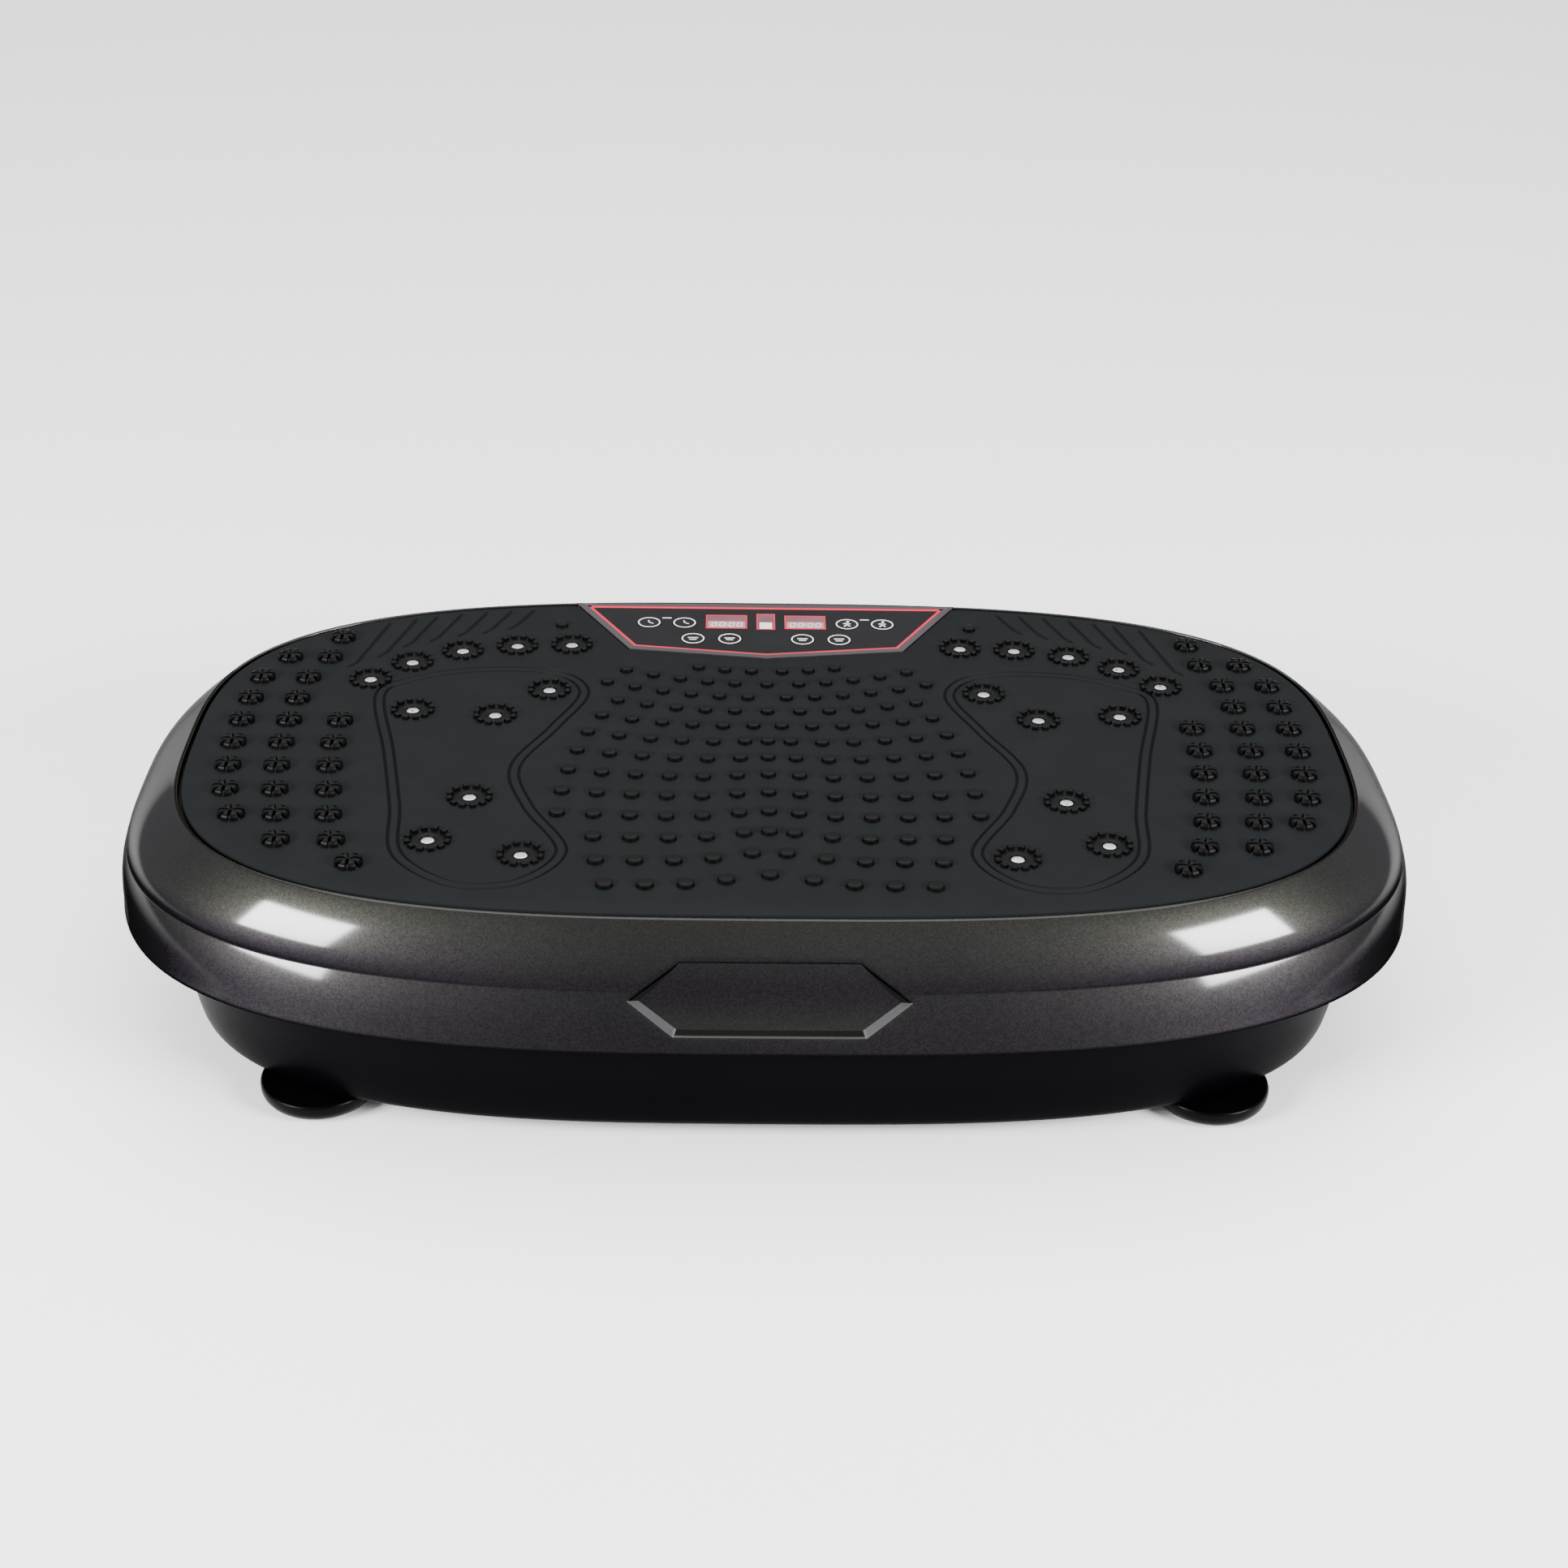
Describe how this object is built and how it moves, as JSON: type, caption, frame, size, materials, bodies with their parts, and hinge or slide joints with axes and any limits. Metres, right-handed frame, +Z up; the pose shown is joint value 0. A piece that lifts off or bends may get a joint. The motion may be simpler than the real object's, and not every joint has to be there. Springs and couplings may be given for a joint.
{
  "type": "vibration plate",
  "caption": "Slim oval rocking platform with a soft rubber massage mat, a recessed touch panel at the back and a crank-driven deck on rubber feet.",
  "frame": {"origin": "on the floor under the middle of the platform", "axes": "+X along the long side to the user's right when the panel is at the far side, +Y towards the panel, +Z up"},
  "size_m": [0.666, 0.406, 0.1305],
  "materials": {
    "shell_paint": "metallic titanium grey gloss paint",
    "bowl_plastic": "fine textured black",
    "mat_rubber": "matt blue-black rubber",
    "foot_rubber": "matt black rubber",
    "buffer_rubber": "matt black rubber",
    "magnet_nickel": "satin nickel plate",
    "ferrite": "sintered dark grey ferrite",
    "steel_zinc": "bright zinc plate",
    "steel_painted": "satin dark grey powder coat",
    "machined_steel": "turned and ground",
    "cast_block": "fine cast, oiled",
    "bronze": "sintered bronze",
    "motor_can": "satin dark enamel",
    "cast_aluminium": "die cast",
    "belt_rubber": "matt black fabric-backed rubber",
    "board_green": "solder mask",
    "board_parts": "moulded components",
    "nylon": "natural nylon",
    "bezel_plastic": "satin silver-grey",
    "trim_red": "red",
    "overlay_black": "gloss black",
    "window_tint": "dark tinted gloss",
    "display": "dark red segment face",
    "key_black": "gloss black with white symbols",
    "socket_plastic": "black",
    "rocker_plastic": "black",
    "switch_metal": "small tact switch",
    "pin_brass": "bright"
  },
  "bodies": {
    "base": {"base_bowl": "bowl_plastic", "base_plate": "steel_painted", "machine_screws": "steel_zinc", "rubber_feet": "foot_rubber", "foot_screws": "steel_zinc", "front_pivot_bracket": "steel_painted", "rear_pivot_bracket": "steel_painted", "pivot_bushes": "bronze", "front_crank_block": "cast_block", "rear_crank_block": "cast_block", "crank_bearings": "machined_steel", "motor_bracket": "steel_painted", "motor_can": "motor_can", "motor_front_cap": "cast_aluminium", "motor_magnets": "ferrite", "motor_screws": "steel_zinc", "drive_belt": "belt_rubber", "power_board": "board_green", "power_board_parts": "board_parts", "board_standoffs": "nylon", "heat_sink": "cast_aluminium", "buffer_posts": "steel_zinc", "rubber_buffers": "buffer_rubber", "mains_socket": "socket_plastic", "mains_socket_pins": "pin_brass", "switch_housing": "socket_plastic"},
    "deck": {"top_shell": "shell_paint", "rubber_mat": "mat_rubber", "mat_magnets": "magnet_nickel", "deck_frame": "steel_painted", "drive_clevis": "steel_painted", "drive_pin": "machined_steel", "pivot_pins": "machined_steel", "shell_screws": "steel_zinc", "panel_bezel": "bezel_plastic", "panel_trim": "trim_red", "panel_overlay": "overlay_black", "display_windows": "window_tint", "receiver_window": "window_tint", "display_modules": "display", "panel_board": "board_green", "key_switches": "switch_metal"},
    "crank": {"eccentric_shaft": "machined_steel", "crank_pulley": "cast_aluminium"},
    "rod": {"connecting_rod": "cast_aluminium", "big_end_bearing": "machined_steel", "small_end_bush": "buffer_rubber"},
    "rotor": {"motor_shaft": "machined_steel", "motor_armature": "machined_steel", "motor_pulley": "cast_aluminium"},
    "rocker": {"power_rocker": "rocker_plastic"},
    "key_time_down": {"key_time_down": "key_black"},
    "key_time_up": {"key_time_up": "key_black"},
    "key_speed_down": {"key_speed_down": "key_black"},
    "key_speed_up": {"key_speed_up": "key_black"},
    "key_power": {"key_power": "key_black"},
    "key_program": {"key_program": "key_black"},
    "key_mode": {"key_mode": "key_black"},
    "key_start": {"key_start": "key_black"}
  },
  "joints": [
    {"name": "deck_rock", "type": "hinge", "parent": "base", "child": "deck", "pos_m": [0, 0, 0.087], "axis": [0, 1, 0], "range_deg": [-1.5, 1.5]},
    {"name": "crank_spin", "type": "hinge", "parent": "base", "child": "crank", "pos_m": [0.07791, 0, 0.051], "axis": [0, 1, 0], "continuous": true},
    {"name": "rod_swing", "type": "hinge", "parent": "crank", "child": "rod", "pos_m": [0.08, -0.01, 0.051], "axis": [0, 1, 0], "continuous": true, "deforming": ["small_end_bush"]},
    {"name": "motor_spin", "type": "hinge", "parent": "base", "child": "rotor", "pos_m": [-0.08, 0, 0.051], "axis": [0, 1, 0], "continuous": true},
    {"name": "power_switch", "type": "hinge", "parent": "base", "child": "rocker", "pos_m": [-0.112, 0.1895, 0.04], "axis": [0, 0, 1], "range_deg": [0, 14]},
    {"name": "press_time_down", "type": "slide", "parent": "deck", "child": "key_time_down", "axis": [0, 0, -1], "range_m": [0, 0.0005], "stiffness_N_per_m": 800, "springref_m": -0.0005},
    {"name": "press_time_up", "type": "slide", "parent": "deck", "child": "key_time_up", "axis": [0, 0, -1], "range_m": [0, 0.0005], "stiffness_N_per_m": 800, "springref_m": -0.0005},
    {"name": "press_speed_down", "type": "slide", "parent": "deck", "child": "key_speed_down", "axis": [0, 0, -1], "range_m": [0, 0.0005], "stiffness_N_per_m": 800, "springref_m": -0.0005},
    {"name": "press_speed_up", "type": "slide", "parent": "deck", "child": "key_speed_up", "axis": [0, 0, -1], "range_m": [0, 0.0005], "stiffness_N_per_m": 800, "springref_m": -0.0005},
    {"name": "press_power", "type": "slide", "parent": "deck", "child": "key_power", "axis": [0, 0, -1], "range_m": [0, 0.0005], "stiffness_N_per_m": 800, "springref_m": -0.0005},
    {"name": "press_program", "type": "slide", "parent": "deck", "child": "key_program", "axis": [0, 0, -1], "range_m": [0, 0.0005], "stiffness_N_per_m": 800, "springref_m": -0.0005},
    {"name": "press_mode", "type": "slide", "parent": "deck", "child": "key_mode", "axis": [0, 0, -1], "range_m": [0, 0.0005], "stiffness_N_per_m": 800, "springref_m": -0.0005},
    {"name": "press_start", "type": "slide", "parent": "deck", "child": "key_start", "axis": [0, 0, -1], "range_m": [0, 0.0005], "stiffness_N_per_m": 800, "springref_m": -0.0005}
  ],
  "couplings": [
    {"joint": "rod_swing", "follows": "crank_spin", "ratio": -1},
    {"joint": "motor_spin", "follows": "crank_spin", "ratio": 3}
  ]
}
